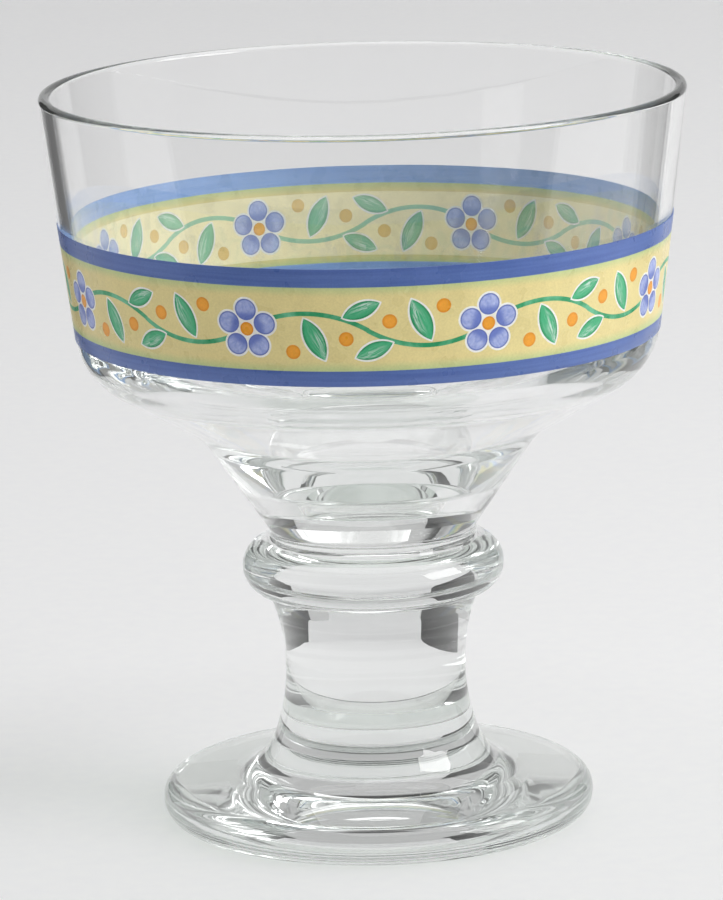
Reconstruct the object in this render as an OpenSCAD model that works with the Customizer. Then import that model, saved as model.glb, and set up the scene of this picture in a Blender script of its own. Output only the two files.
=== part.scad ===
// Footed parfait glass: a flared cup on a funnel, a round knop, a waisted solid stem
// and a round foot, with a band of fired enamel round the cup.
// Millimetres. The glass stands on z = 0 and turns about the z axis.

/* [Foot] */
// Diameter of the foot
foot_d = 67.8; // [60:0.2:76]
// Thickness of the foot at its rounded edge
foot_edge_t = 6; // [4.6:0.1:7]
// Flat strip left between the two roundings of the edge
foot_edge_land = 0.2; // [0.1:0.1:1]
// Height of the foot section, up to the stem
foot_h = 12.4; // [11.4:0.1:15]
// Diameter at which the foot's top turns up into the stem
flare_d = 38.6; // [37:0.2:44]
// Height of the foot's top at that turn
flare_z = 7.5; // [7:0.1:8]
// Radius of the turn
flare_f = 7; // [4:0.1:8]
// Diameter of the hollow under the foot
recess_d = 46; // [30:0.5:52]
// Depth of the hollow under the foot
recess_depth = 0.3; // [0.2:0.1:3]

/* [Stem] */
// Height of the stem
stem_h = 21.6; // [16:0.1:30]
// Diameter of the stem where it meets the foot
stem_base_d = 32.6; // [30:0.1:34]
// Diameter of the stem where it meets the knop
stem_top_d = 31.6; // [30:0.1:34]
// Radius of the waist's curve
waist_curve_r = 31.5; // [24:0.5:60]

/* [Knop] */
// Height of the knop section
knop_h = 11.3; // [10.8:0.1:14]
// Diameter over the bead
knop_d = 41; // [38.6:0.1:44]
// Diameter of the bead's own round section
bead_d = 8.5; // [7:0.1:9]
// Height of the bead's middle above the stem
bead_z = 6.2; // [5:0.1:6.4]

/* [Bowl outside] */
// Diameter of the neck, where the bowl meets the knop
neck_d = 32.5; // [31:0.1:34]
// Height of the upright neck under the funnel
neck_h = 1.1; // [1:0.1:2]
// Radius of the turn from the neck into the funnel
neck_f = 2.8; // [1:0.1:3]
// Diameter at which the funnel turns out into the cup
shoulder_d = 53.2; // [50:0.2:55]
// Height of that turn above the neck
shoulder_z = 16.4; // [15.8:0.1:18]
// Radius of that turn
shoulder_f = 12; // [6:0.1:16]
// Diameter at which the cup's bottom turns up into the wall
cup_d = 89.3; // [86:0.1:94]
// Height of that turn above the neck
cup_z = 27; // [24.5:0.1:29]
// Radius of that turn
cup_f = 10.5; // [7:0.1:13]
// Diameter of the rim
rim_d = 100; // [96:0.5:106]
// Height of the bowl from neck to rim
bowl_h = 70.2; // [62:0.1:80]

/* [Bowl inside] */
// Thickness of the wall, measured level
wall_t = 1.8; // [1.4:0.1:2.6]
// Flat strip left between the two roundings of the rim
lip_land = 0.3; // [0.1:0.1:0.8]
// Height of the inner turn of the cup over the outer one
cup_floor_t = 3.6; // [2:0.1:4.5]
// Radius of the inner turn of the cup
inner_cup_f = 10; // [4:0.1:12]
// Thickness of the glass at the shoulder, measured level
funnel_wall_t = 5.8; // [5:0.1:8]
// Drop of the inner turn of the shoulder below the outer one
shoulder_drop = 0.5; // [0:0.1:0.9]
// Radius of the inner turn of the shoulder
inner_shoulder_f = 11; // [6:0.1:16]
// Diameter of the floor inside
floor_d = 23; // [21:0.1:25]
// Thickness of the glass between floor and neck
floor_t = 6.7; // [4:0.1:7.4]
// Dip of the floor's middle
floor_dip = 0.2; // [0.1:0.1:1.5]
// Radius between the floor and the well's side
floor_f = 1.2; // [0.8:0.1:2.4]
// Height of the well, from the floor to the turn into the funnel
well_h = 3.2; // [2.5:0.1:4]
// Outward lean of the well's side over its height
well_lean = 2; // [1:0.1:2.6]
// Radius between the well's side and the funnel
well_f = 4.9; // [2:0.1:6]

/* [Enamel band] */
// Thickness of the enamel
enamel_t = 0.15; // [0.1:0.01:0.4]
// Bare glass between the cup's turn and the band
band_lift = 0.1; // [0.05:0.05:4]
// Width of the blue stripe at the lower edge
lower_stripe_w = 2.4; // [1:0.1:4]
// Width of the green line above it
lower_line_w = 1.1; // [0.5:0.1:2]
// Width of the cream field
ground_w = 10.3; // [10:0.1:14]
// Width of the green line above the field
upper_line_w = 1.4; // [0.5:0.1:2]
// Width of the blue stripe at the upper edge
upper_stripe_w = 2.8; // [1:0.1:4]

/* [Vine pattern] */
// Blossoms round the band
blossoms = 8; // [6:1:8]
// Diameter of a petal
petal_d = 3.3; // [2.6:0.05:3.4]
// Diameter of the circle that the petals stand on
petal_ring_d = 5.9; // [5.8:0.05:6.1]
// Diameter of a blossom's middle
centre_d = 2.1; // [1.4:0.1:2.4]
// Width of the white edging
keyline_w = 0.3; // [0.15:0.05:0.4]
// Length of a leaf
leaf_l = 7; // [5:0.1:7.4]
// Width of a leaf
leaf_w = 2.9; // [2:0.1:3.2]
// Diameter of a berry
berry_d = 2.2; // [1.4:0.1:2.4]
// Width of the vine
vine_w = 0.7; // [0.4:0.1:1]
// Rise of each bend of the vine
vine_rise = 2.6; // [2:0.1:3]

/* [Hidden] */
$fn = 180;

// Length by which a cutting shape overruns what it cuts
overrun = 1;

// Heights at which the sections meet
stem_z = foot_h;
knop_z = stem_z + stem_h;
bowl_z = knop_z + knop_h;

// The waist is an arc through both ends of the stem
waist_base = [stem_base_d / 2, 0];
waist_top = [stem_top_d / 2, stem_h];
waist_chord = waist_top - waist_base;
waist_middle = (waist_base + waist_top) / 2 + unit([waist_chord[1], -waist_chord[0]])
    * sqrt(pow(waist_curve_r, 2) - pow(norm(waist_chord) / 2, 2));

// The hollow under the foot is a slice of a large ball
recess_r = (pow(recess_d / 2, 2) + pow(recess_depth, 2)) / (2 * recess_depth);

// Roundings that leave a narrow land between them
foot_edge_f = (foot_edge_t - foot_edge_land) / 2;
lip_f = (wall_t - lip_land) / 2;

// Corners of the bowl's outside, as radius and height above the neck
shoulder_corner = [shoulder_d / 2, shoulder_z];
cup_corner = [cup_d / 2, cup_z];
rim_corner = [rim_d / 2, bowl_h];

// The straight wall starts where the cup's turn ends
wall_start = cup_corner + unit(rim_corner - cup_corner)
    * tangent_run(shoulder_corner, cup_corner, rim_corner, cup_f);

// Edges of the enamel, from the band's lower edge to its upper edge
lower_stripe_z = wall_start[1] + band_lift;
lower_line_z = lower_stripe_z + lower_stripe_w;
ground_z = lower_line_z + lower_line_w;
upper_line_z = ground_z + ground_w;
upper_stripe_z = upper_line_z + upper_line_w;

// Middle of the cream field, and the run of half a repeat round the wall there
ground_mid_z = ground_z + ground_w / 2;
ground_mid_r = wall_r(ground_mid_z);
bend_run = PI * ground_mid_r / blossoms;
bend_angle = 180 / blossoms;
first_blossom_angle = -90 - bend_angle;

// Each bend of the vine is an arc over half a repeat
bend_r = (pow(bend_run / 2, 2) + pow(vine_rise, 2)) / (2 * vine_rise);

// Leaves of one bend: run and height as shares of the bend's run and of half the field,
// the leaf's turn in degrees, and its size as a share of a full leaf
leaf_shares = [[0.566, -0.26, -65, 1], [0.95, 0.6, 22, 0.84]];
// Berries of one bend: run and height as the same shares
berry_shares = [[0.385, -0.64], [0.824, -0.25]];
petals_per_blossom = 5;

// Geometry helpers
function unit(v) = v / norm(v);
function half_corner(a, p, b) = acos(unit(a - p) * unit(b - p)) / 2;
function tangent_run(a, p, b, f) = f / tan(half_corner(a, p, b));
function cross_turn(a, p, b) = (p - a)[0] * (b - p)[1] - (p - a)[1] * (b - p)[0];
function place(c) = [c[0], c[1]];
function rounding(c) = len(c) > 2 ? c[2] : 0;

// Largest rounding that fits a corner: it takes at most its whole side, or half of one that it
// shares with another rounding
function side_room(c, other) = norm(place(other) - place(c)) / (rounding(other) > 0 ? 2 : 1);
function fillet_room(a, c, b) = min(side_room(c, a), side_room(c, b))
    * tan(half_corner(place(a), place(c), place(b)));

// Radius of the bowl's outer wall at a height above the neck
function wall_r(z) = cup_corner[0]
    + (z - cup_corner[1]) * (rim_corner[0] - cup_corner[0]) / (rim_corner[1] - cup_corner[1]);

// The cap of a fillet's circle in its corner, reaching back over the chord to overlap the rest
module fillet_slice(a, p, b, f) {
    run = tangent_run(a, p, b, f);
    t1 = p + unit(a - p) * run;
    t2 = p + unit(b - p) * run;
    middle = p + unit(unit(a - p) + unit(b - p)) * f / sin(half_corner(a, p, b));
    reach = p - (t1 + t2) / 2;
    intersection() {
        translate(middle) circle(r = f);
        polygon([t1 - reach, t1 + reach, t2 + reach, t2 - reach]);
    }
}

// A closed outline, counter-clockwise, whose corners [x, y, radius] are true arcs
module rounded_outline(corners) {
    n = len(corners);
    before = [for (i = [0:n - 1]) place(corners[(i + n - 1) % n])];
    here = [for (c = corners) place(c)];
    after = [for (i = [0:n - 1]) place(corners[(i + 1) % n])];
    f = [for (i = [0:n - 1]) rounding(corners[i]) > 0
        ? min(rounding(corners[i]), fillet_room(corners[(i + n - 1) % n], corners[i], corners[(i + 1) % n]))
        : 0];
    chords = [for (i = [0:n - 1])
        let (run = f[i] > 0 ? tangent_run(before[i], here[i], after[i], f[i]) : 0)
        each f[i] > 0
            ? [here[i] + unit(before[i] - here[i]) * run, here[i] + unit(after[i] - here[i]) * run]
            : [here[i]]];
    difference() {
        union() {
            polygon(chords);
            for (i = [0:n - 1])
                if (f[i] > 0 && cross_turn(before[i], here[i], after[i]) > 0)
                    fillet_slice(before[i], here[i], after[i], f[i]);
        }
        for (i = [0:n - 1])
            if (f[i] > 0 && cross_turn(before[i], here[i], after[i]) < 0)
                fillet_slice(before[i], here[i], after[i], f[i]);
    }
}

// A sleeve of enamel on the wall between two heights above the neck
module enamel_sleeve(z, w) {
    translate([0, 0, bowl_z])
        rotate_extrude()
            polygon([[wall_r(z), z], [wall_r(z) + enamel_t, z],
                     [wall_r(z + w) + enamel_t, z + w], [wall_r(z + w), z + w]]);
}

// Enamel of the cream field, cut to the outlines given as children
module field_enamel() {
    intersection() {
        enamel_sleeve(ground_z, ground_w);
        union() children();
    }
}

// Stands a flat drawing on the wall: run is measured round the wall from the first blossom,
// rise from the middle of the field
module on_wall(run, rise) {
    inner = wall_r(ground_z) - overrun;
    outer = wall_r(upper_line_z) + enamel_t + overrun;
    rotate([0, 0, first_blossom_angle + bend_angle * run / bend_run])
        translate([inner, 0, bowl_z + ground_mid_z + rise])
            rotate([90, 0, 90])
                linear_extrude(outer - inner) children();
}

// Repeats a drawing at every blossom
module at_blossoms() {
    for (i = [0:blossoms - 1]) on_wall(2 * i * bend_run, 0) children();
}

// Repeats a drawing at a place in every bend: the second bend is the first one turned upside down
module at_bends(share, turn) {
    for (i = [0:blossoms - 1]) {
        on_wall((2 * i + share[0]) * bend_run, share[1] * ground_w / 2)
            rotate(turn) children();
        on_wall((2 * i + 2 - share[0]) * bend_run, -share[1] * ground_w / 2)
            rotate(turn + 180) children();
    }
}

// Five round petals, each grown by the edging asked for
module petal_drawing(edge) {
    for (k = [0:petals_per_blossom - 1])
        rotate(90 + k * 360 / petals_per_blossom)
            translate([petal_ring_d / 2, 0]) circle(d = petal_d + 2 * edge);
}

// The whole blossom with its edging
module rosette_drawing() {
    petal_drawing(keyline_w);
    circle(d = petal_ring_d - petal_d + 2 * keyline_w);
}

// A pointed leaf between two arcs
module leaf_drawing(size, edge) {
    l = leaf_l * size + 2 * edge;
    w = leaf_w * size + 2 * edge;
    arc_r = (pow(l / 2, 2) + pow(w / 2, 2)) / w;
    intersection() {
        translate([0, arc_r - w / 2]) circle(r = arc_r);
        translate([0, w / 2 - arc_r]) circle(r = arc_r);
    }
}

// One bend of the vine
module bend_drawing() {
    intersection() {
        translate([0, vine_rise - bend_r])
            difference() {
                circle(r = bend_r + vine_w / 2);
                circle(r = bend_r - vine_w / 2);
            }
        translate([-bend_run / 2, -vine_w])
            square([bend_run, vine_rise + 2 * vine_w]);
    }
}

module all_rosettes() { at_blossoms() rosette_drawing(); }

module all_leaves(edge) {
    for (leaf = leaf_shares) at_bends(leaf, leaf[2]) leaf_drawing(leaf[3], edge);
}

module all_berries() {
    for (berry = berry_shares) at_bends(berry, 0) circle(d = berry_d);
}

module all_bends() { at_bends([0.5, 0], 0) bend_drawing(); }

// Sub-parts
module foot() {
    color("gainsboro")
        rotate_extrude()
            difference() {
                rounded_outline([[0, 0], [foot_d / 2, 0, foot_edge_f],
                                 [foot_d / 2, foot_edge_t, foot_edge_f],
                                 [flare_d / 2, flare_z, flare_f],
                                 [stem_base_d / 2, foot_h], [0, foot_h]]);
                translate([0, recess_depth - recess_r]) circle(r = recess_r);
            }
}

module stem() {
    color("gainsboro")
        translate([0, 0, stem_z])
            rotate_extrude()
                difference() {
                    square([max(stem_base_d, stem_top_d) / 2 + overrun, stem_h]);
                    translate(waist_middle) circle(r = waist_curve_r);
                }
}

module knop() {
    color("gainsboro")
        translate([0, 0, knop_z])
            rotate_extrude()
                union() {
                    polygon([[0, 0], [stem_top_d / 2, 0], [neck_d / 2, knop_h], [0, knop_h]]);
                    translate([(knop_d - bead_d) / 2, bead_z]) circle(d = bead_d);
                }
}

module bowl() {
    inner_cup_z = cup_z + cup_floor_t;
    inner_shoulder = shoulder_corner - [funnel_wall_t, shoulder_drop];
    well_corner = [floor_d / 2 + well_lean, floor_t + well_h];
    color("gainsboro")
        translate([0, 0, bowl_z])
            rotate_extrude()
                rounded_outline([[0, 0], [neck_d / 2, 0], [neck_d / 2, neck_h, neck_f],
                                 [shoulder_corner[0], shoulder_corner[1], shoulder_f],
                                 [cup_corner[0], cup_corner[1], cup_f],
                                 [rim_corner[0], rim_corner[1], lip_f],
                                 [rim_corner[0] - wall_t, rim_corner[1], lip_f],
                                 [wall_r(inner_cup_z) - wall_t, inner_cup_z, inner_cup_f],
                                 [inner_shoulder[0], inner_shoulder[1], inner_shoulder_f],
                                 [well_corner[0], well_corner[1], well_f],
                                 [floor_d / 2, floor_t, floor_f],
                                 [0, floor_t - floor_dip]]);
}

module lower_stripe() { color("#5a6fb0") enamel_sleeve(lower_stripe_z, lower_stripe_w); }

module lower_line() { color("#b9cf9a") enamel_sleeve(lower_line_z, lower_line_w); }

module upper_line() { color("#b9cf9a") enamel_sleeve(upper_line_z, upper_line_w); }

module upper_stripe() { color("#5a6fb0") enamel_sleeve(upper_stripe_z, upper_stripe_w); }

module ground() {
    color("#e8dfae")
        difference() {
            enamel_sleeve(ground_z, ground_w);
            all_rosettes();
            all_leaves(keyline_w);
            all_berries();
            all_bends();
        }
}

module vine() {
    color("#2f8f5c")
        field_enamel()
            difference() {
                all_bends();
                all_rosettes();
                all_leaves(keyline_w);
                all_berries();
            }
}

module leaves() {
    color("#2e9a62")
        field_enamel()
            difference() {
                all_leaves(0);
                all_rosettes();
            }
}

module petals() { color("#8494cc") field_enamel() at_blossoms() petal_drawing(0); }

module centres() { color("#e08a20") field_enamel() at_blossoms() circle(d = centre_d); }

module berries() {
    color("#e08a20")
        field_enamel()
            difference() {
                all_berries();
                all_rosettes();
                all_leaves(keyline_w);
            }
}

module keylines() {
    color("white")
        field_enamel() {
            at_blossoms()
                difference() {
                    rosette_drawing();
                    petal_drawing(0);
                    circle(d = centre_d);
                }
            difference() {
                all_leaves(keyline_w);
                all_leaves(0);
                all_rosettes();
            }
        }
}

foot();
stem();
knop();
bowl();
lower_stripe();
lower_line();
ground();
upper_line();
upper_stripe();
vine();
leaves();
petals();
centres();
berries();
keylines();
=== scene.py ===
import math

import bmesh
import bpy
from mathutils import Matrix, Vector
from mathutils.geometry import delaunay_2d_cdt


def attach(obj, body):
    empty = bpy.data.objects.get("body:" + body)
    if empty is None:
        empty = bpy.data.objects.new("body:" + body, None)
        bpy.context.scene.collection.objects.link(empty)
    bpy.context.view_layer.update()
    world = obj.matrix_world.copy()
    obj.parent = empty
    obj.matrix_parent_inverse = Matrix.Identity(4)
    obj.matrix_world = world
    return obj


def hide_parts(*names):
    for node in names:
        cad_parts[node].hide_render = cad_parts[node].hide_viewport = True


# Footed parfait glass: one clear pressed body with a fired enamel band round its cup.
# Outlines are written in millimetres and turned into metres when a mesh is made.

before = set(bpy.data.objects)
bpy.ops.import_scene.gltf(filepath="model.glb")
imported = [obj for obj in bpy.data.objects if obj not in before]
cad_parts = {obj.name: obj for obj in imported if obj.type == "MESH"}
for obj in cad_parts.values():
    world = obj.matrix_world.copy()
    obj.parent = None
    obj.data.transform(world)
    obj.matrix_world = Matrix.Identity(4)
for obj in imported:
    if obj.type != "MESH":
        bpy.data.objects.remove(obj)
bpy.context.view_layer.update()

MM = 0.001
TURN = 2 * math.pi

# Sizes of the clear glass in mm
FOOT_R = 33.9
FOOT_EDGE_T = 6.0
FOOT_EDGE_F = 2.9
FLARE_R = 19.3
FLARE_Z = 7.5
FLARE_F = 7.0
RECESS_R = 23.0
RECESS_DEPTH = 0.3
WAIST_BASE = Vector((16.3, 12.4))
WAIST_TOP = Vector((15.8, 34.0))
WAIST_CURVE_R = 31.5
BEAD_R = 4.25
BEAD_MIDDLE = Vector((16.25, 40.2))
NECK_R = 16.25
NECK_H = 1.1
NECK_F = 2.8
BOWL_Z = 45.3
SHOULDER = Vector((26.6, 16.4))
SHOULDER_F = 12.0
CUP = Vector((44.65, 27.0))
CUP_F = 10.5
RIM = Vector((50.0, 70.2))
LIP_F = 0.75
WALL_T = 1.8
CUP_FLOOR_T = 3.6
INNER_CUP_F = 10.0
FUNNEL_WALL_T = 5.8
SHOULDER_DROP = 0.5
INNER_SHOULDER_F = 11.0
WELL = Vector((13.5, 9.9))
WELL_F = 4.9
FLOOR = Vector((11.5, 6.7))
FLOOR_F = 1.2
FLOOR_DIP = 0.2

# Sizes of the enamel in mm, heights above the neck
LOWER_STRIPE_Z = 32.24
LOWER_LINE_Z = 34.64
GROUND_Z = 35.74
UPPER_LINE_Z = 46.04
UPPER_STRIPE_Z = 47.44
BAND_TOP_Z = 50.24
ENAMEL_GAP = 0.02
ENAMEL_OVER = 0.15
ENAMEL_SOFT = 0.05

# Sizes of the running vine in mm
BLOSSOMS = 8
PETAL_R = 1.65
PETAL_RING_R = 2.95
PETALS = 5
CENTRE_R = 1.05
KEYLINE_W = 0.3
LEAF_L = 7.0
LEAF_W = 2.9
BERRY_R = 1.1
VINE_W = 0.7
VINE_RISE = 2.6
# Leaves of one bend: run and height as shares of the bend and half the field, turn, and size
LEAF_SHARES = [(0.566, -0.26, -65, 1.0), (0.95, 0.6, 22, 0.84)]
BERRY_SHARES = [(0.385, -0.64), (0.824, -0.25)]

# Steps of the meshes: round the axis, along the shapes of the vine, and along a rounding in mm
ROUND_STEPS = 256
LEAF_STEPS = 20
BEND_STEPS = 28
DOT_STEPS = 24
PETAL_STEPS = 32
ARC_STEP = 0.4
LEAST_ARC_STEPS = 6
# Limits of the meshes: a point this close to the axis in mm is on it, and a steeper edge is sharp
AXIS_R = 1e-6
SHARP_ANGLE = math.radians(50)


# Clear glass: the outline of half a section, then one turned body

def rounded(corners):
    """An outline whose corners (point, radius) become arcs with steps short enough to refract smoothly."""
    points = []
    for index, (corner, radius) in enumerate(corners):
        if radius == 0:
            points.append(corner)
            continue
        back = (corners[index - 1][0] - corner).normalized()
        ahead = (corners[index + 1][0] - corner).normalized()
        half = back.angle(ahead) / 2
        middle = corner + (back + ahead).normalized() * radius / math.sin(half)
        start = corner + back * radius / math.tan(half) - middle
        end = corner + ahead * radius / math.tan(half) - middle
        first = math.atan2(start.y, start.x)
        sweep = (math.atan2(end.y, end.x) - first + math.pi) % TURN - math.pi
        steps = max(LEAST_ARC_STEPS, math.ceil(abs(sweep) * radius / ARC_STEP))
        for step in range(steps + 1):
            angle = first + sweep * step / steps
            points.append(middle + Vector((math.cos(angle), math.sin(angle))) * radius)
    return points


def with_supports(points, longest=0.7, near=0.06):
    """Adds a point close to both ends of each straight run, so that its shading stays straight."""
    out = [points[0]]
    for start, end in zip(points, points[1:]):
        run = (end - start).length
        if run > longest:
            along = (end - start) / run
            out.append(start + along * near)
            out.append(end - along * near)
        out.append(end)
    return out


def above_neck(point):
    return Vector((point.x, BOWL_Z + point.y))


def wall_r(height):
    """Radius of the cup's outer wall at a height above the neck."""
    return CUP.x + (height - CUP.y) * (RIM.x - CUP.x) / (RIM.y - CUP.y)


def glass_outline():
    """Half a section of the glass, from the middle of the hollow under the foot to the well's middle."""
    hollow_steps = 32
    waist_steps = 60
    bead_steps = 40
    bead_reach = 86
    hollow_r = (RECESS_R ** 2 + RECESS_DEPTH ** 2) / (2 * RECESS_DEPTH)
    points = []
    for step in range(hollow_steps + 1):
        radius = RECESS_R * step / hollow_steps
        points.append(Vector((radius, RECESS_DEPTH - hollow_r + math.sqrt(hollow_r ** 2 - radius ** 2))))
    points += rounded([
        (Vector((RECESS_R, 0)), 0),
        (Vector((FOOT_R, 0)), FOOT_EDGE_F),
        (Vector((FOOT_R, FOOT_EDGE_T)), FOOT_EDGE_F),
        (Vector((FLARE_R, FLARE_Z)), FLARE_F),
        (WAIST_BASE, 0),
    ])[1:]
    chord = WAIST_TOP - WAIST_BASE
    sideways = Vector((chord.y, -chord.x)).normalized()
    reach = math.sqrt(WAIST_CURVE_R ** 2 - (chord.length / 2) ** 2)
    waist_middle = (WAIST_BASE + WAIST_TOP) / 2 + sideways * reach
    for step in range(1, waist_steps + 1):
        height = WAIST_BASE.y + chord.y * step / waist_steps
        across = math.sqrt(WAIST_CURVE_R ** 2 - (height - waist_middle.y) ** 2)
        points.append(Vector((waist_middle.x - across, height)))
    for step in range(bead_steps + 1):
        angle = math.radians(-bead_reach + 2 * bead_reach * step / bead_steps)
        points.append(BEAD_MIDDLE + Vector((math.cos(angle), math.sin(angle))) * BEAD_R)
    inner_cup = Vector((wall_r(CUP.y + CUP_FLOOR_T) - WALL_T, CUP.y + CUP_FLOOR_T))
    inner_shoulder = SHOULDER - Vector((FUNNEL_WALL_T, SHOULDER_DROP))
    points += rounded([
        (above_neck(Vector((NECK_R, 0))), 0),
        (above_neck(Vector((NECK_R, NECK_H))), NECK_F),
        (above_neck(SHOULDER), SHOULDER_F),
        (above_neck(CUP), CUP_F),
        (above_neck(RIM), LIP_F),
        (above_neck(RIM - Vector((WALL_T, 0))), LIP_F),
        (above_neck(inner_cup), INNER_CUP_F),
        (above_neck(inner_shoulder), INNER_SHOULDER_F),
        (above_neck(WELL), WELL_F),
        (above_neck(FLOOR), FLOOR_F),
        (above_neck(Vector((0, FLOOR.y - FLOOR_DIP))), 0),
    ])
    return with_supports(points)


def turned(name, outline, closed):
    """A mesh turned about Z from an outline in mm; a closed outline gives a ring."""
    mesh = bmesh.new()
    rings = []
    for point in outline:
        if point.x < AXIS_R:
            rings.append([mesh.verts.new((0, 0, point.y * MM))])
            continue
        ring = []
        for step in range(ROUND_STEPS):
            angle = TURN * step / ROUND_STEPS
            spot = (point.x * math.cos(angle) * MM, point.x * math.sin(angle) * MM, point.y * MM)
            ring.append(mesh.verts.new(spot))
        rings.append(ring)
    pairs = list(zip(rings, rings[1:]))
    if closed:
        pairs.append((rings[-1], rings[0]))
    for low, high in pairs:
        for step in range(ROUND_STEPS):
            after = (step + 1) % ROUND_STEPS
            if len(low) == 1:
                mesh.faces.new((low[0], high[after], high[step]))
            elif len(high) == 1:
                mesh.faces.new((low[step], low[after], high[0]))
            else:
                mesh.faces.new((low[step], low[after], high[after], high[step]))
    return finished(name, mesh)


def finished(name, mesh):
    """Turns a bmesh into an object with outward faces, smooth apart from its sharp edges."""
    bmesh.ops.recalc_face_normals(mesh, faces=mesh.faces[:])
    data = bpy.data.meshes.new(name)
    mesh.to_mesh(data)
    mesh.free()
    data.shade_smooth()
    data.set_sharp_from_angle(angle=SHARP_ANGLE)
    piece = bpy.data.objects.new(name, data)
    bpy.context.collection.objects.link(piece)
    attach(piece, "root")
    return piece


def sleeve(name, low, high):
    """A ring of enamel on the wall, softened where it ends on bare glass; a hair of air under it keeps
    its colour out of the light that runs inside the wall up to the rim."""
    low_soft = ENAMEL_SOFT if low == LOWER_STRIPE_Z else 0.0
    high_soft = ENAMEL_SOFT if high == BAND_TOP_Z else 0.0
    outline = [Vector((wall_r(low) + ENAMEL_GAP, BOWL_Z + low))]
    if low_soft:
        outline.append(Vector((wall_r(low) + ENAMEL_OVER - low_soft, BOWL_Z + low)))
    outline.append(Vector((wall_r(low) + ENAMEL_OVER, BOWL_Z + low + low_soft)))
    outline.append(Vector((wall_r(high) + ENAMEL_OVER, BOWL_Z + high - high_soft)))
    if high_soft:
        outline.append(Vector((wall_r(high) + ENAMEL_OVER - high_soft, BOWL_Z + high)))
    outline.append(Vector((wall_r(high) + ENAMEL_GAP, BOWL_Z + high)))
    return turned(name, outline, True)


# Enamel drawing on the cream field, unrolled: run round the wall from a blossom, rise from mid-field

GROUND_W = UPPER_LINE_Z - GROUND_Z
MID_Z = GROUND_Z + GROUND_W / 2
MID_R = wall_r(MID_Z)
BEND_RUN = math.pi * MID_R / BLOSSOMS
BEND_R = ((BEND_RUN / 2) ** 2 + VINE_RISE ** 2) / (2 * VINE_RISE)
FIRST_BLOSSOM = math.radians(-90 - 180 / BLOSSOMS)
# Kinds of shape: where two lie on one spot, the later kind shows
FIELD, VINE, BERRY, EDGED_LEAF, LEAF, ROSETTE, CENTRE, PETAL = range(8)


def arc_points(middle, radius, start, end, steps):
    points = []
    for step in range(steps + 1):
        angle = start + (end - start) * step / steps
        points.append(middle + Vector((math.cos(angle), math.sin(angle))) * radius)
    return points


def disc_points(middle, radius, steps):
    return arc_points(middle, radius, 0, TURN, steps)[:-1]


def leaf_points(size, edge):
    """A pointed leaf between two arcs, with an edging added all round."""
    length = LEAF_L * size + 2 * edge
    width = LEAF_W * size + 2 * edge
    arc_r = ((length / 2) ** 2 + (width / 2) ** 2) / width
    half = math.asin(length / 2 / arc_r)
    below = -math.pi / 2
    above = math.pi / 2
    low = arc_points(Vector((0, arc_r - width / 2)), arc_r, below - half, below + half, LEAF_STEPS)
    high = arc_points(Vector((0, width / 2 - arc_r)), arc_r, above - half, above + half, LEAF_STEPS)
    return low[:-1] + high[:-1]


def bend_points():
    """One bend of the vine, from a blossom to the crossing after it."""
    half = math.asin(BEND_RUN / 2 / BEND_R)
    middle = Vector((0, VINE_RISE - BEND_R))
    above = math.pi / 2
    outer = arc_points(middle, BEND_R + VINE_W / 2, above - half, above + half, BEND_STEPS)
    inner = arc_points(middle, BEND_R - VINE_W / 2, above + half, above - half, BEND_STEPS)
    return outer + inner


def leaf_share(spot, size):
    """Where a spot lies in a leaf, along and across, each from -1 to 1."""
    least_half_w = 0.05
    arc_r = ((LEAF_L * size / 2) ** 2 + (LEAF_W * size / 2) ** 2) / (LEAF_W * size)
    half_w = math.sqrt(max(arc_r ** 2 - spot.x ** 2, 0)) - (arc_r - LEAF_W * size / 2)
    return (2 * spot.x / (LEAF_L * size), max(-1, min(1, spot.y / max(half_w, least_half_w))))


class Motif:
    """One shape of the drawing: its kind, its outline, and its place and turn on the field."""

    def __init__(self, kind, outline, run, rise, turn=0.0, size=1.0):
        self.kind = kind
        self.run = run
        self.rise = rise
        self.turn = Matrix.Rotation(turn, 2)
        self.size = size
        self.outline = [self.on_field(spot) for spot in outline]

    def on_field(self, spot):
        """A flat drawing's spot laid on the round wall."""
        laid = self.turn @ spot
        return Vector((self.run + MID_R * math.asin(laid.x / MID_R), self.rise + laid.y))

    def share(self, spot):
        """The stroke coordinates of a spot of the field within this shape."""
        flat = Vector((MID_R * math.sin((spot.x - self.run) / MID_R), spot.y - self.rise))
        local = self.turn.inverted() @ flat
        if self.kind == LEAF:
            return leaf_share(local, self.size)
        if self.kind == PETAL:
            return ((local.x - PETAL_RING_R) / PETAL_R, local.y / PETAL_R)
        if self.kind == CENTRE:
            return (local.x / CENTRE_R, local.y / CENTRE_R)
        if self.kind == BERRY:
            return (local.x / BERRY_R, local.y / BERRY_R)
        away = (local - Vector((0, VINE_RISE - BEND_R))).length - BEND_R
        return (local.x, 2 * away / VINE_W)


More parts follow.
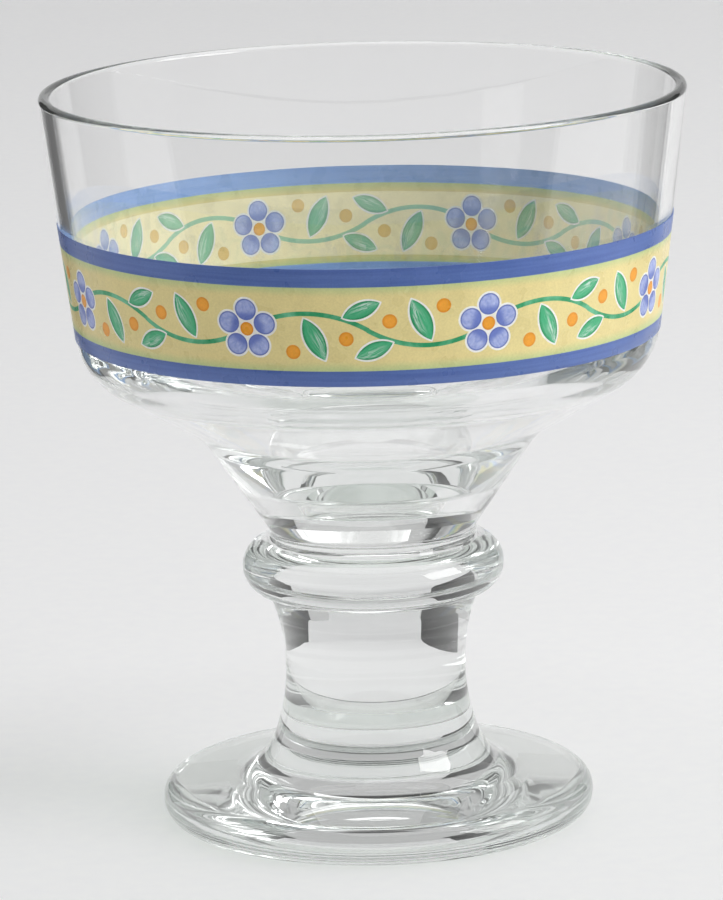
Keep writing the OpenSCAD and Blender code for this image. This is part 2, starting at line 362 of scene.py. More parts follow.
def repeat_motifs():
    """The shapes that touch one repeat of the vine, which is centred on a blossom."""
    origin = Vector((0, 0))
    margin = 1
    motifs = []
    for index in (-1, 0, 1):
        start = 2 * index * BEND_RUN
        backing_r = PETAL_RING_R - PETAL_R + KEYLINE_W
        motifs.append(Motif(ROSETTE, disc_points(origin, backing_r, DOT_STEPS), start, 0))
        motifs.append(Motif(CENTRE, disc_points(origin, CENTRE_R, DOT_STEPS), start, 0))
        for petal in range(PETALS):
            turn = math.pi / 2 + TURN * petal / PETALS
            middle = Vector((PETAL_RING_R, 0))
            backing = disc_points(middle, PETAL_R + KEYLINE_W, PETAL_STEPS)
            motifs.append(Motif(ROSETTE, backing, start, 0, turn))
            motifs.append(Motif(PETAL, disc_points(middle, PETAL_R, PETAL_STEPS), start, 0, turn))
        for share, flip in ((1, 0), (-1, math.pi)):
            base = start if share == 1 else start + 2 * BEND_RUN
            for run, rise, turn, size in LEAF_SHARES:
                spot = (base + share * run * BEND_RUN, share * rise * GROUND_W / 2)
                place = (*spot, math.radians(turn) + flip)
                motifs.append(Motif(EDGED_LEAF, leaf_points(size, KEYLINE_W), *place, size))
                motifs.append(Motif(LEAF, leaf_points(size, 0), *place, size))
            for run, rise in BERRY_SHARES:
                place = (base + share * run * BEND_RUN, share * rise * GROUND_W / 2)
                motifs.append(Motif(BERRY, disc_points(origin, BERRY_R, DOT_STEPS), *place))
            motifs.append(Motif(VINE, bend_points(), base + share * BEND_RUN / 2, 0, flip))
    reach = BEND_RUN + margin
    return [motif for motif in motifs if min(abs(spot.x) for spot in motif.outline) < reach]


def mapped_repeat():
    """Triangles of one repeat, each with the shape that shows there."""
    columns = 30
    rows = 8
    all_triangles = 0
    closest = 1e-5
    high = GROUND_W / 2
    corners = [(-BEND_RUN, -high), (BEND_RUN, -high), (BEND_RUN, high), (-BEND_RUN, high)]
    spots = [Vector(corner) for corner in corners]
    outlines = [[0, 1, 2, 3]]
    motifs = repeat_motifs()
    for motif in motifs:
        outlines.append(list(range(len(spots), len(spots) + len(motif.outline))))
        spots += motif.outline
    for column in range(columns + 1):
        for row in range(rows + 1):
            spots.append(Vector((BEND_RUN * (2 * column / columns - 1), high * (2 * row / rows - 1))))
    spots, _, faces, _, _, owners = delaunay_2d_cdt(
        spots, [], outlines, all_triangles, closest, True)
    triangles = []
    for face, owner in zip(faces, owners):
        if 0 not in owner:
            continue
        shown = max((motifs[index - 1] for index in owner if index), key=lambda m: m.kind, default=None)
        triangles.append(([spots[index] for index in face], shown))
    return triangles


PIECE_OF_KIND = {
    FIELD: "cream_ground", VINE: "vine_stems", BERRY: "berries", EDGED_LEAF: "white_keylines",
    LEAF: "leaves", ROSETTE: "white_keylines", CENTRE: "blossom_centres", PETAL: "petals",
}


def on_wall(spot, repeat, lift):
    """A spot of the field, in metres, at a lift above the glass."""
    angle = FIRST_BLOSSOM + TURN * repeat / BLOSSOMS + spot.x / MID_R
    radius = (wall_r(MID_Z + spot.y) + lift) * MM
    return (radius * math.cos(angle), radius * math.sin(angle), (BOWL_Z + MID_Z + spot.y) * MM)


def field_pieces(triangles):
    """Closed films of enamel, one mesh per colour of the drawing, from the one map of the field."""
    golden_share = 0.618
    digits = 5
    meshes = {}
    numbers = {}
    for repeat in range(BLOSSOMS):
        for corners, shown in triangles:
            kind = shown.kind if shown else FIELD
            name = PIECE_OF_KIND[kind]
            if name not in meshes:
                mesh = bmesh.new()
                meshes[name] = (mesh, mesh.loops.layers.float_vector.new("stroke"), {})
            mesh, stroke, known = meshes[name]
            verts = []
            for spot in corners:
                key = (repeat, round(spot.x, digits), round(spot.y, digits))
                if key not in known:
                    known[key] = mesh.verts.new(on_wall(spot, repeat, ENAMEL_OVER))
                verts.append(known[key])
            face = mesh.faces.new(verts)
            if shown is None or kind in (ROSETTE, EDGED_LEAF):
                continue
            place = (repeat, id(shown))
            number = numbers.setdefault(place, (len(numbers) * golden_share) % 1)
            for loop, spot in zip(face.loops, corners):
                loop[stroke] = Vector((*shown.share(spot), number))
    return {name: thickened(name, mesh) for name, (mesh, _, _) in meshes.items()}


def thickened(name, mesh):
    """Joins the repeats of a film and gives it its inner face and its edges."""
    join_within = 0.002 * MM
    bmesh.ops.remove_doubles(mesh, verts=mesh.verts[:], dist=join_within)
    outer = mesh.faces[:]
    grown = bmesh.ops.extrude_face_region(mesh, geom=outer, use_keep_orig=True)
    sunk = [item for item in grown["geom"] if isinstance(item, bmesh.types.BMVert)]
    for vert in sunk:
        radius = math.hypot(vert.co.x, vert.co.y)
        shrink = (radius - (ENAMEL_OVER - ENAMEL_GAP) * MM) / radius
        vert.co.x *= shrink
        vert.co.y *= shrink
    return finished(name, mesh)


# Materials

# Sockets of a mix of two colours
FACTOR, UNDER, OVER, MIXED = 0, 6, 7, 2


def linear(code):
    """A colour written as sRGB hex, as linear values."""
    shares = [int(code[start:start + 2], 16) / 255 for start in (1, 3, 5)]
    return [s / 12.92 if s <= 0.04045 else ((s + 0.055) / 1.055) ** 2.4 for s in shares] + [1]


def add(tree, kind, inputs=None, **settings):
    """Adds a node with its settings; an input is a value, or an output socket to link."""
    made = tree.nodes.new(kind)
    for key, value in settings.items():
        setattr(made, key, value)
    for key, value in (inputs or {}).items():
        if isinstance(value, bpy.types.NodeSocket):
            tree.links.new(value, made.inputs[key])
        else:
            made.inputs[key].default_value = value
    return made


def new_material(name):
    material = bpy.data.materials.new(name)
    material.use_nodes = True
    material.node_tree.nodes.clear()
    return material, material.node_tree


def in_mm(tree):
    """Positions on the piece in millimetres, so that a pattern's scale is one over its size."""
    place = add(tree, "ShaderNodeTexCoord").outputs["Object"]
    return add(tree, "ShaderNodeVectorMath", {0: place, "Scale": 1 / MM}, operation="SCALE").outputs[0]


def pressed_soda_lime_glass():
    # Pressed soda-lime glass, fire-polished: clear with a trace of grey-green in thick places, a faint
    # unevenness from the mould that makes the stem, funnel and foot shimmer, and barely a touch of haze
    material, tree = new_material("pressed_soda_lime_glass")
    place = in_mm(tree)
    wave_wide = 11.0
    wave_tall = 5.0
    wave_deep = 0.03 * MM
    uneven_below_z = 66.0
    even_above_z = 80.0
    even_share = 0.15
    touch_wide = 16.0
    most_haze = 0.012
    stem_mid_z = 30.0
    stem_reach = 16.0
    wall_reach = 22.0
    wave = add(tree, "ShaderNodeVectorMath", {0: place, 1: (1 / wave_wide, 1 / wave_wide, 1 / wave_tall)},
               operation="MULTIPLY").outputs[0]
    swell = add(tree, "ShaderNodeTexNoise", {"Vector": wave, "Scale": 1.0, "Detail": 1.0, "Roughness": 0.4})
    height = add(tree, "ShaderNodeSeparateXYZ", {0: place}).outputs["Z"]
    pressed = add(tree, "ShaderNodeMapRange", {
        "Value": height, "From Min": uneven_below_z, "From Max": even_above_z,
        "To Min": 1.0, "To Max": even_share}, interpolation_type="SMOOTHSTEP")
    relief = add(tree, "ShaderNodeMath", {0: swell.outputs["Fac"], 1: pressed.outputs[0]},
                 operation="MULTIPLY")
    bump = add(tree, "ShaderNodeBump", {"Height": relief.outputs[0], "Strength": 1.0, "Distance": wave_deep})
    touch = add(tree, "ShaderNodeTexNoise", {"Vector": place, "Scale": 1 / touch_wide, "Detail": 2.0})
    haze = add(tree, "ShaderNodeMapRange", {
        "Value": touch.outputs["Fac"], "From Min": 0.4, "From Max": 0.75,
        "To Min": 0.0, "To Max": most_haze})
    glass = add(tree, "ShaderNodeBsdfPrincipled", {
        "Base Color": (1, 1, 1, 1), "IOR": 1.52, "Transmission Weight": 1.0,
        "Roughness": haze.outputs[0], "Normal": bump.outputs["Normal"]})
    paths = add(tree, "ShaderNodeLightPath")
    passing = add(tree, "ShaderNodeMath", {
        0: paths.outputs["Is Shadow Ray"], 1: paths.outputs["Is Diffuse Ray"]}, operation="MAXIMUM")
    # The solid stem and knop turn much of the light aside and so shade the paper; the thin wall hardly does
    stem_middle = add(tree, "ShaderNodeMath", {0: height, 1: stem_mid_z}, operation="SUBTRACT")
    from_stem = add(tree, "ShaderNodeMath", {0: stem_middle.outputs[0]}, operation="ABSOLUTE")
    thin = add(tree, "ShaderNodeMapRange", {
        "Value": from_stem.outputs[0], "From Min": stem_reach, "From Max": wall_reach},
        interpolation_type="SMOOTHSTEP")
    shade = add(tree, "ShaderNodeMix", {
        FACTOR: thin.outputs[0], UNDER: linear("#DFE4E0"), OVER: linear("#FBFCFB")}, data_type="RGBA")
    clear = add(tree, "ShaderNodeBsdfTransparent", {"Color": shade.outputs[MIXED]})
    surface = add(tree, "ShaderNodeMixShader", {
        0: passing.outputs[0], 1: glass.outputs[0], 2: clear.outputs[0]})
    body = add(tree, "ShaderNodeVolumeAbsorption", {"Color": linear("#E2E7E4"), "Density": 9.0})
    add(tree, "ShaderNodeOutputMaterial", {"Surface": surface.outputs[0], "Volume": body.outputs[0]})
    return material


def seen_from_inside(tree):
    """1 on the faces of a film that are turned to the glass, 0 on the ones turned outwards. The films paint
    those faces paler, as painted light for the light that shines through the thin enamel from behind.
    """
    coords = add(tree, "ShaderNodeTexCoord")
    level = add(tree, "ShaderNodeVectorMath", {0: coords.outputs["Object"], 1: (1, 1, 0)},
                operation="MULTIPLY")
    facing = add(tree, "ShaderNodeVectorMath", {0: level.outputs[0], 1: coords.outputs["Normal"]},
                 operation="DOT_PRODUCT")
    inward = add(tree, "ShaderNodeMath", {0: facing.outputs["Value"], 1: 0.0}, operation="LESS_THAN")
    return inward.outputs[0]


def fired(tree, colour):
    """Finish of a fired enamel film over a colour: mottle, pigment grain, orange peel and uneven gloss."""
    place = in_mm(tree)
    mottle_wide = 5.0
    grain_wide = 0.3
    peel_wide = 0.9
    peel_deep = 0.01 * MM
    mottle = add(tree, "ShaderNodeTexNoise", {"Vector": place, "Scale": 1 / mottle_wide, "Detail": 3.0})
    cloud = add(tree, "ShaderNodeMapRange", {
        "Value": mottle.outputs["Fac"], "From Min": 0.3, "From Max": 0.7, "To Min": 0.93, "To Max": 1.03})
    # Real pigment grain is finer than a pixel, so it is drawn coarser
    grain = add(tree, "ShaderNodeTexNoise", {"Vector": place, "Scale": 1 / grain_wide, "Detail": 1.0})
    speck = add(tree, "ShaderNodeMapRange", {
        "Value": grain.outputs["Fac"], "From Min": 0.25, "From Max": 0.75, "To Min": 0.94, "To Max": 1.04})
    shade = add(tree, "ShaderNodeMath", {0: cloud.outputs[0], 1: speck.outputs[0]}, operation="MULTIPLY")
    mottled = add(tree, "ShaderNodeMix", {FACTOR: 1.0, UNDER: colour, OVER: shade.outputs[0]},
                  data_type="RGBA", blend_type="MULTIPLY").outputs[MIXED]
    gloss = add(tree, "ShaderNodeMapRange", {
        "Value": mottle.outputs["Fac"], "From Min": 0.3, "From Max": 0.7, "To Min": 0.24, "To Max": 0.36})
    peel = add(tree, "ShaderNodeTexNoise", {"Vector": place, "Scale": 1 / peel_wide, "Detail": 2.0})
    bump = add(tree, "ShaderNodeBump", {
        "Height": peel.outputs["Fac"], "Strength": 0.6, "Distance": peel_deep})
    film = add(tree, "ShaderNodeBsdfPrincipled", {
        "Base Color": mottled, "Roughness": gloss.outputs[0], "IOR": 1.5, "Normal": bump.outputs["Normal"]})
    add(tree, "ShaderNodeOutputMaterial", {"Surface": film.outputs[0]})


def blue_stripe_enamel():
    # Cobalt blue glass enamel laid on with a banding wheel: even colour, streaked faintly round the glass
    material, tree = new_material("blue_stripe_enamel")
    streak_long = 20.0
    streak_tall = 0.5
    streak_size = add(tree, "ShaderNodeVectorMath", {
        0: in_mm(tree), 1: (1 / streak_long, 1 / streak_long, 1 / streak_tall)}, operation="MULTIPLY")
    streak = add(tree, "ShaderNodeTexNoise", {"Vector": streak_size.outputs[0], "Scale": 1.0, "Detail": 2.0})
    share = add(tree, "ShaderNodeMapRange", {
        "Value": streak.outputs["Fac"], "From Min": 0.35, "From Max": 0.65})
    blue = add(tree, "ShaderNodeMix", {
        FACTOR: share.outputs[0], UNDER: linear("#506AAD"), OVER: linear("#5B76B6")},
        data_type="RGBA").outputs[MIXED]
    # Faces turned to the glass are painted a paler blue: painted light standing in for the light that shines
    # through the thin enamel from behind
    back = add(tree, "ShaderNodeMix", {
        FACTOR: share.outputs[0], UNDER: linear("#82A6E2"), OVER: linear("#90B2E8")},
        data_type="RGBA").outputs[MIXED]
    colour = add(tree, "ShaderNodeMix", {FACTOR: seen_from_inside(tree), UNDER: blue, OVER: back},
                 data_type="RGBA").outputs[MIXED]
    fired(tree, colour)
    return material


CREAM = "#EBDB99"
PALE_GREEN = "#C2D293"


def toward_stripe(tree, near_low, near_high):
    """1 next to a stripe, falling softly to 0 into the cream field; heights in mm above the neck."""
    height = add(tree, "ShaderNodeSeparateXYZ", {0: in_mm(tree)}).outputs["Z"]
    drift_wide = 6.0
    fade_start = 0.3
    fade_end = 1.7
    uneven = add(tree, "ShaderNodeTexNoise", {"Vector": in_mm(tree), "Scale": 1 / drift_wide, "Detail": 2.0})
    drift = add(tree, "ShaderNodeMath", {0: uneven.outputs["Fac"], 1: 0.7, 2: -0.35},
                operation="MULTIPLY_ADD")
    moved = add(tree, "ShaderNodeMath", {0: height, 1: drift.outputs[0]}, operation="ADD").outputs[0]
    low = add(tree, "ShaderNodeMapRange", {
        "Value": moved, "From Min": BOWL_Z + near_low - fade_start, "From Max": BOWL_Z + near_low + fade_end,
        "To Min": 1.0, "To Max": 0.0}, interpolation_type="SMOOTHSTEP")
    high = add(tree, "ShaderNodeMapRange", {
        "Value": moved, "From Min": BOWL_Z + near_high - fade_end,
        "From Max": BOWL_Z + near_high + fade_start}, interpolation_type="SMOOTHSTEP")
    either = add(tree, "ShaderNodeMath", {0: low.outputs[0], 1: high.outputs[0]}, operation="MAXIMUM")
    return either.outputs[0]


def pale_green_line_enamel():
    # Thin pale green enamel sprayed along the stripes: its inner edge fades into the cream
    material, tree = new_material("pale_green_line_enamel")
    near_stripe = toward_stripe(tree, LOWER_LINE_Z, UPPER_STRIPE_Z)
    colour = add(tree, "ShaderNodeMix", {
        FACTOR: near_stripe, UNDER: linear(CREAM), OVER: linear(PALE_GREEN)},
        data_type="RGBA").outputs[MIXED]
    fired(tree, colour)
    return material


def cream_ground_enamel():
    # Cream glass enamel printed all round: a satin gloss, faintly cloudy, tinged green along both edges
    material, tree = new_material("cream_ground_enamel")
    # Faces turned to the glass are painted a much paler cream: painted light standing in for the light that
    # shines through the thin enamel from behind
    cream = add(tree, "ShaderNodeMix", {
        FACTOR: seen_from_inside(tree), UNDER: linear(CREAM), OVER: linear("#FFF4C8")},
        data_type="RGBA").outputs[MIXED]
    colour = add(tree, "ShaderNodeMix", {
        FACTOR: toward_stripe(tree, LOWER_LINE_Z, UPPER_STRIPE_Z), UNDER: cream, OVER: linear(PALE_GREEN)},
        data_type="RGBA").outputs[MIXED]
    fired(tree, colour)
    return material


def stroke_parts(tree):
    """The stroke coordinates of a painted shape, and its share along and across on their own."""
    stroke = add(tree, "ShaderNodeAttribute", attribute_name="stroke").outputs["Vector"]
    parts = add(tree, "ShaderNodeSeparateXYZ", {0: stroke})
    return stroke, parts.outputs[0], parts.outputs[1]


def leaf_green_enamel():
    # Green enamel brushed over white: pale bristle marks run along each leaf, and the edges are deeper
    material, tree = new_material("brushed_leaf_green_enamel")
    stroke, along, across = stroke_parts(tree)
    # Marks per half leaf along and across, about 2.3 mm long and 0.25 mm wide, and a shift from leaf to leaf
    marks_shares = (1.5, 5.8, 37.0)
    marks_size = add(tree, "ShaderNodeVectorMath", {0: stroke, 1: marks_shares}, operation="MULTIPLY")
    marks = add(tree, "ShaderNodeTexNoise", {"Vector": marks_size.outputs[0], "Scale": 1.0, "Detail": 3.0})
    bristle = add(tree, "ShaderNodeMapRange", {
        "Value": marks.outputs["Fac"], "From Min": 0.42, "From Max": 0.68})
    upper = add(tree, "ShaderNodeMapRange", {"Value": across, "From Min": -0.5, "From Max": 0.25,
                                             "To Min": 0.12, "To Max": 1.0}, interpolation_type="SMOOTHSTEP")
    inset = add(tree, "ShaderNodeMath", {0: across}, operation="ABSOLUTE").outputs[0]
    inside = add(tree, "ShaderNodeMapRange", {"Value": inset, "From Min": 0.95, "From Max": 0.6},
                 interpolation_type="SMOOTHSTEP")
    outward = add(tree, "ShaderNodeMapRange", {"Value": along, "From Min": -0.9, "From Max": 0.1})
    pale = add(tree, "ShaderNodeMath", {0: bristle.outputs[0], 1: upper.outputs[0]}, operation="MULTIPLY")
    pale = add(tree, "ShaderNodeMath", {0: pale.outputs[0], 1: inside.outputs[0]}, operation="MULTIPLY")
    pale = add(tree, "ShaderNodeMath", {0: pale.outputs[0], 1: outward.outputs[0]}, operation="MULTIPLY")
    green = add(tree, "ShaderNodeMix", {
        FACTOR: inside.outputs[0], UNDER: linear("#27975F"), OVER: linear("#41B47E")},
        data_type="RGBA").outputs[MIXED]
    brushed = add(tree, "ShaderNodeMix", {FACTOR: pale.outputs[0], UNDER: green, OVER: linear("#D2E8DC")},
                  data_type="RGBA").outputs[MIXED]
    # Faces turned to the glass are paler: partly the white under the green, partly painted light standing in
    # for the light that shines through the thin enamel from behind
    back = add(tree, "ShaderNodeMix", {FACTOR: 0.28, UNDER: brushed, OVER: linear("#E6EFE0")},
               data_type="RGBA").outputs[MIXED]
    colour = add(tree, "ShaderNodeMix", {FACTOR: seen_from_inside(tree), UNDER: brushed, OVER: back},
                 data_type="RGBA").outputs[MIXED]
    fired(tree, colour)
    return material


def vine_green_enamel():
    # The same green drawn as a thin line: paler where the brush ran dry
    material, tree = new_material("drawn_vine_green_enamel")
    dry_long = 2.5
    dry = add(tree, "ShaderNodeTexNoise", {"Vector": in_mm(tree), "Scale": 1 / dry_long, "Detail": 2.0})
    share = add(tree, "ShaderNodeMapRange", {"Value": dry.outputs["Fac"], "From Min": 0.4, "From Max": 0.7})
    green = add(tree, "ShaderNodeMix", {
        FACTOR: share.outputs[0], UNDER: linear("#2FA069"), OVER: linear("#6CC297")},
        data_type="RGBA").outputs[MIXED]
    # Faces turned to the glass are painted a paler green: painted light standing in for the light that
    # shines through the thin enamel from behind
    colour = add(tree, "ShaderNodeMix", {
        FACTOR: seen_from_inside(tree), UNDER: green, OVER: linear("#A6D3B4")},
        data_type="RGBA").outputs[MIXED]
    fired(tree, colour)
    return material


def petal_blue_enamel():
    # Soft blue enamel dabbed over white: each petal is deeper at its heart and along its edge
    material, tree = new_material("dabbed_petal_blue_enamel")
    stroke, outward, _ = stroke_parts(tree)
    level = add(tree, "ShaderNodeVectorMath", {0: stroke, 1: (1, 1, 0)}, operation="MULTIPLY")
    reach = add(tree, "ShaderNodeVectorMath", {0: level.outputs[0]}, operation="LENGTH").outputs["Value"]
    # Dabs per half petal, about 0.75 mm by 0.5 mm, and a shift from petal to petal
    dab_shares = (2.2, 3.2, 41.0)
    dab_size = add(tree, "ShaderNodeVectorMath", {0: stroke, 1: dab_shares}, operation="MULTIPLY")
    dabs = add(tree, "ShaderNodeTexNoise", {"Vector": dab_size.outputs[0], "Scale": 1.0, "Detail": 3.0})
    thin = add(tree, "ShaderNodeMapRange", {"Value": dabs.outputs["Fac"], "From Min": 0.35, "From Max": 0.7})
    blue = add(tree, "ShaderNodeMix", {
        FACTOR: thin.outputs[0], UNDER: linear("#96A5DE"), OVER: linear("#BBC6EE")},
        data_type="RGBA").outputs[MIXED]
    heart = add(tree, "ShaderNodeMapRange", {"Value": outward, "From Min": 0.1, "From Max": -0.6},
                interpolation_type="SMOOTHSTEP")
    deep = add(tree, "ShaderNodeMix", {FACTOR: heart.outputs[0], UNDER: blue, OVER: linear("#6E81CA")},
               data_type="RGBA").outputs[MIXED]
    edge = add(tree, "ShaderNodeMapRange", {"Value": reach, "From Min": 0.8, "From Max": 0.95},
               interpolation_type="SMOOTHSTEP")
    edged = add(tree, "ShaderNodeMix", {FACTOR: edge.outputs[0], UNDER: deep, OVER: linear("#6577BE")},
                data_type="RGBA").outputs[MIXED]
    # Faces turned to the glass are paler: partly the white under the blue, partly painted light standing in
    # for the light that shines through the thin enamel from behind
    back = add(tree, "ShaderNodeMix", {FACTOR: 0.3, UNDER: edged, OVER: linear("#CBD4F0")},
               data_type="RGBA").outputs[MIXED]
    colour = add(tree, "ShaderNodeMix", {FACTOR: seen_from_inside(tree), UNDER: edged, OVER: back},
                 data_type="RGBA").outputs[MIXED]
    fired(tree, colour)
    return material


def orange_dot_enamel(name, inside_share):
    # Warm orange enamel set down in drops: a little deeper round the rim of each drop
    material, tree = new_material(name)
    stroke, _, _ = stroke_parts(tree)
    level = add(tree, "ShaderNodeVectorMath", {0: stroke, 1: (1, 1, 0)}, operation="MULTIPLY")
    reach = add(tree, "ShaderNodeVectorMath", {0: level.outputs[0]}, operation="LENGTH").outputs["Value"]
    rim = add(tree, "ShaderNodeMapRange", {"Value": reach, "From Min": 0.55, "From Max": 1.0},
              interpolation_type="SMOOTHSTEP")
    orange = add(tree, "ShaderNodeMix", {
        FACTOR: rim.outputs[0], UNDER: linear("#F8A832"), OVER: linear("#E8941F")},
        data_type="RGBA").outputs[MIXED]
    # Faces turned to the glass are mixed towards cream and paler: painted light standing in for the light
    # that shines through the thin enamel from behind
    back = add(tree, "ShaderNodeMix", {FACTOR: inside_share, UNDER: linear(CREAM), OVER: orange},
               data_type="RGBA").outputs[MIXED]
    colour = add(tree, "ShaderNodeMix", {FACTOR: seen_from_inside(tree), UNDER: orange, OVER: back},
                 data_type="RGBA").outputs[MIXED]
    fired(tree, colour)
    return material


def white_keyline_enamel():
    # Opaque white enamel under the painted shapes: it shows as an outline with slightly uneven cover
    material, tree = new_material("white_keyline_enamel")
    cover_wide = 1.2
    cover = add(tree, "ShaderNodeTexNoise", {"Vector": in_mm(tree), "Scale": 1 / cover_wide, "Detail": 2.0})
    share = add(tree, "ShaderNodeMapRange", {
        "Value": cover.outputs["Fac"], "From Min": 0.55, "From Max": 0.8})
    colour = add(tree, "ShaderNodeMix", {
        FACTOR: share.outputs[0], UNDER: linear("#F6F5F0"), OVER: linear("#E6E2CC")},
        data_type="RGBA").outputs[MIXED]
    fired(tree, colour)
    return material


# Pieces

glass_body = turned("glass_body", glass_outline(), False)
glass_body.data.materials.append(pressed_soda_lime_glass())
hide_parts("foot", "stem", "knop", "bowl")

blue_stripe = blue_stripe_enamel()
pale_green_line = pale_green_line_enamel()
for name, node, low, high, material, slot in (
    ("lower_blue_stripe", "lower_stripe", LOWER_STRIPE_Z, LOWER_LINE_Z, blue_stripe, "blue_enamel"),
    ("lower_green_line", "lower_line", LOWER_LINE_Z, GROUND_Z, pale_green_line, "pale_green_enamel"),
    ("upper_green_line", "upper_line", UPPER_LINE_Z, UPPER_STRIPE_Z, pale_green_line, "pale_green_enamel"),
    ("upper_blue_stripe", "upper_stripe", UPPER_STRIPE_Z, BAND_TOP_Z, blue_stripe, "blue_enamel"),
):
    ring = sleeve(name, low, high)
    ring.data.materials.append(material)
    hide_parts(node)

films = field_pieces(mapped_repeat())
for name, node, material, slot in (
    ("cream_ground", "ground", cream_ground_enamel(), "cream_enamel"),
    ("vine_stems", "vine", vine_green_enamel(), "leaf_green_enamel"),
    ("leaves", "leaves", leaf_green_enamel(), "leaf_green_enamel"),
    ("petals", "petals", petal_blue_enamel(), "petal_blue_enamel"),
    ("blossom_centres", "centres", orange_dot_enamel("orange_centre_enamel", 0.7), "orange_enamel"),
    ("berries", "berries", orange_dot_enamel("orange_berry_enamel", 0.3), "orange_enamel"),
    ("white_keylines", "keylines", white_keyline_enamel(), "white_enamel"),
):
    films[name].data.materials.append(material)
    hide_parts(node)


# Stage: a seamless pale sweep all round, faintly glowing sheets of painted dark reflection beside and before
# the glass that show only in the glass, soft lamps, a dim room

def pale_sweep_paper():
    # Matt white background paper: almost no sheen, a faint grain
    material, tree = new_material("pale_sweep_paper")
    fibre_long = 3.0
    fibre = add(tree, "ShaderNodeTexNoise", {"Vector": in_mm(tree), "Scale": 1 / fibre_long, "Detail": 2.0})
    share = add(tree, "ShaderNodeMapRange", {
        "Value": fibre.outputs["Fac"], "From Min": 0.3, "From Max": 0.7})
    colour = add(tree, "ShaderNodeMix", {
        FACTOR: share.outputs[0], UNDER: linear("#F3F3F4"), OVER: linear("#F5F5F5")},
        data_type="RGBA").outputs[MIXED]
    paper = add(tree, "ShaderNodeBsdfPrincipled", {
        "Base Color": colour, "Roughness": 0.7, "Specular IOR Level": 0.15})
    add(tree, "ShaderNodeOutputMaterial", {"Surface": paper.outputs[0]})
    return material


def ring_sheet(name, outline, first, last, steps):
    """A sheet swept about Z from an outline in metres, between two angles in degrees from +Y towards +X."""
    verts = []
    for step in range(steps + 1):
        angle = math.radians(first + (last - first) * step / steps)
        for radius, height in outline:
            verts.append((radius * math.sin(angle), radius * math.cos(angle), height))
    wide = len(outline)
    faces = []
    for step in range(steps):
        for index in range(wide - 1):
            corner = step * wide + index
            faces.append((corner, corner + 1, corner + wide + 1, corner + wide))
    data = bpy.data.meshes.new(name)
    data.from_pydata(verts, [], faces)
    data.shade_smooth()
    made = bpy.data.objects.new(name, data)
    bpy.context.collection.objects.link(made)
    return made


def sweep():
    """Floor and a cove that rises until it is upright, in one round sheet."""
    floor_z = -0.0002
    floor_r = 1.2
    cove_r = 0.35
    cove_steps = 16
    round_steps = 96
    outline = [(0.0001, floor_z), (0.3, floor_z), (floor_r, floor_z)]
    for step in range(1, cove_steps + 1):
        angle = math.pi / 2 * step / cove_steps
        outline.append((floor_r + cove_r * math.sin(angle), floor_z + cove_r * (1 - math.cos(angle))))
    sheet = ring_sheet("sweep", outline, 0, 360, round_steps)
    sheet.data.materials.append(pale_sweep_paper())


def dark_reflection_sheet(name, lower, upper, near_light, far_light, least_mirrored):
    """A faintly glowing sheet from an edge on the floor to an upper edge, glowing more along its length: a
    painted dark reflection of dim surroundings, which lights nothing and casts no shadow. It shows only in
    the glass, to light that was mirrored there at least so many times."""
    lift = 0.001
    wide = len(lower)
    faces = [(index, index + 1, wide + index + 1, wide + index) for index in range(wide - 1)]
    data = bpy.data.meshes.new(name)
    data.from_pydata([(x, y, lift) for x, y in lower] + upper, [], faces)
    glow_sheet = bpy.data.objects.new(name, data)
    bpy.context.collection.objects.link(glow_sheet)
    material, tree = new_material(name + "_cloth")
    spot = add(tree, "ShaderNodeSeparateXYZ", {0: add(tree, "ShaderNodeTexCoord").outputs["Object"]})
    angle = add(tree, "ShaderNodeMath", {0: spot.outputs["X"], 1: spot.outputs["Y"]}, operation="ARCTAN2")
    first = math.atan2(lower[0][0], lower[0][1])
    last = math.atan2(lower[-1][0], lower[-1][1])
    light = add(tree, "ShaderNodeMapRange", {"Value": angle.outputs[0], "From Min": first, "From Max": last,
                                             "To Min": near_light, "To Max": far_light})
    # A faint glow that no lamp lights: the painted dark reflection itself
    dim = add(tree, "ShaderNodeEmission", {"Color": (1, 1, 1, 1), "Strength": light.outputs[0]})
    mirrored = add(tree, "ShaderNodeLightPath").outputs["Glossy Depth"]
    shown = add(tree, "ShaderNodeMath", {0: mirrored, 1: least_mirrored - 0.5}, operation="GREATER_THAN")
    clear = add(tree, "ShaderNodeBsdfTransparent", {"Color": (1, 1, 1, 1)})
    reflected_dark = add(tree, "ShaderNodeMixShader", {0: shown.outputs[0], 1: clear.outputs[0], 2: dim.outputs[0]})
    add(tree, "ShaderNodeOutputMaterial", {"Surface": reflected_dark.outputs[0]})
    glow_sheet.data.materials.append(material)
    glow_sheet.visible_camera = False
    glow_sheet.visible_diffuse = False
    glow_sheet.visible_shadow = False


def soft_lamp(name, spot, aim, wide, tall, watts):
    light = bpy.data.lights.new(name, "AREA")
    light.shape = "RECTANGLE"
    light.size = wide
    light.size_y = tall
    light.energy = watts
    lamp = bpy.data.objects.new(name, light)
    lamp.location = spot
    lamp.rotation_euler = (Vector(aim) - Vector(spot)).to_track_quat("-Z", "Y").to_euler()
    bpy.context.collection.objects.link(lamp)


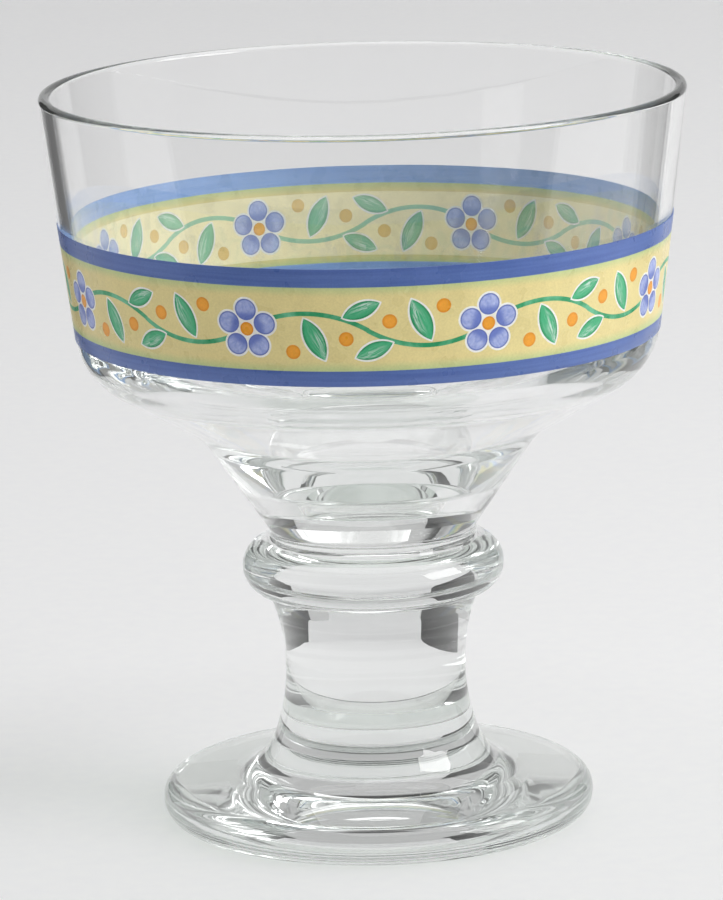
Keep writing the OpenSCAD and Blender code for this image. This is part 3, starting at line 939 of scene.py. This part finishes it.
def studio_world():
    """Soft light from a pale room, dim at the camera's place and in a ring below the overhead lamp."""
    world = bpy.data.worlds.new("studio")
    bpy.context.scene.world = world
    world.use_nodes = True
    tree = world.node_tree
    tree.nodes.clear()
    ahead = add(tree, "ShaderNodeTexCoord").outputs["Generated"]
    dim_side = Vector((-0.3, -0.93, 0.2)).normalized()
    room_light = 0.54
    dim_light = 0.1
    toward = add(tree, "ShaderNodeVectorMath", {0: ahead, 1: dim_side}, operation="DOT_PRODUCT")
    room = add(tree, "ShaderNodeMapRange", {
        "Value": toward.outputs["Value"], "From Min": 0.35, "From Max": 0.95,
        "To Min": room_light, "To Max": dim_light}, interpolation_type="SMOOTHSTEP")
    ring_middle = math.sin(math.radians(55))
    ring_half = 0.03
    ring_end = 0.09
    up = add(tree, "ShaderNodeSeparateXYZ", {0: ahead}).outputs["Z"]
    from_ring = add(tree, "ShaderNodeMath", {0: up, 1: ring_middle}, operation="SUBTRACT")
    off_ring = add(tree, "ShaderNodeMath", {0: from_ring.outputs[0]}, operation="ABSOLUTE")
    ring = add(tree, "ShaderNodeMapRange", {
        "Value": off_ring.outputs[0], "From Min": ring_half, "From Max": ring_end,
        "To Min": 0.1, "To Max": 1.0}, interpolation_type="SMOOTHSTEP")
    strength = add(tree, "ShaderNodeMath", {0: room.outputs[0], 1: ring.outputs[0]}, operation="MULTIPLY")
    light = add(tree, "ShaderNodeBackground", {"Color": (1, 1, 1, 1), "Strength": strength.outputs[0]})
    add(tree, "ShaderNodeOutputWorld", {"Surface": light.outputs[0]})


def photo_camera():
    """The camera fitted to the rim, the foot and the outline."""
    pitch = 0.214946
    roll = -0.0237396
    yaw = -0.001757
    lens_px = 5337.036
    photo_tall_px = 900
    stand = Vector((0, -0.814176, 0.235895))
    right = Vector((math.cos(yaw), -math.sin(yaw), 0))
    ahead = Vector((math.cos(pitch) * math.sin(yaw), math.cos(pitch) * math.cos(yaw), -math.sin(pitch)))
    above = right.cross(ahead)
    side = right * math.cos(roll) + above * math.sin(roll)
    top = above * math.cos(roll) - right * math.sin(roll)
    data = bpy.data.cameras.new("camera")
    data.sensor_width = 36
    data.lens = lens_px * data.sensor_width / photo_tall_px
    data.clip_end = 20
    camera = bpy.data.objects.new("camera", data)
    turn = Matrix((side, top, -ahead)).transposed()
    camera.matrix_world = Matrix.Translation(stand) @ turn.to_4x4()
    bpy.context.collection.objects.link(camera)
    bpy.context.scene.camera = camera


sweep()
# Edges of the sheets of painted dark reflection beside and before the glass, in metres
left_lower_edge = [(-0.399, 1.079), (-0.195, 0.495), (-0.134, 0.291), (-0.112, 0.185), (-0.113, 0.09)]
left_upper_edge = [
    (-0.365, 1.09, 0.42), (-0.34, 0.83, 0.34), (-0.375, 0.706, 0.3), (-0.44, 0.607, 0.3),
    (-0.503, 0.486, 0.27)]
dark_reflection_sheet("left_dark_reflection", left_lower_edge, left_upper_edge, near_light=0.07, far_light=0.22, least_mirrored=0)
right_lower_edge = [(0.643, 0.953), (0.6, 0.77), (0.285, 0.305), (0.189, 0.11), (0.19, 0.07)]
right_upper_edge = [
    (0.549, 1.011, 0.42), (0.517, 0.797, 0.36), (0.535, 0.595, 0.32), (0.614, 0.43, 0.3),
    (0.674, 0.329, 0.3)]
dark_reflection_sheet("right_dark_reflection", right_lower_edge, right_upper_edge, near_light=0.1, far_light=0.4, least_mirrored=0)
front_near_edge = [(-0.7, -0.12), (0.7, -0.12)]
front_far_edge = [(-0.9, -1.1, 0.002), (0.9, -1.1, 0.002)]
dark_reflection_sheet("front_dark_reflection", front_near_edge, front_far_edge, near_light=0.1, far_light=0.1, least_mirrored=1)
soft_lamp("key_lamp", spot=(1.15, -0.42, 0.75), aim=(0, 0, 0.06), wide=0.8, tall=0.6, watts=9)
soft_lamp("top_lamp", spot=(0.45, 0.1, 2.2), aim=(0.1, 0, 0), wide=2.4, tall=2.4, watts=23)
studio_world()
photo_camera()

scene = bpy.context.scene
scene.view_settings.view_transform = "Standard"
# Light goes round inside the thick glass many times before it leaves
inner_bounces = 64
scene.cycles.max_bounces = inner_bounces
scene.cycles.glossy_bounces = inner_bounces
scene.cycles.transmission_bounces = inner_bounces
scene.cycles.transparent_max_bounces = 32
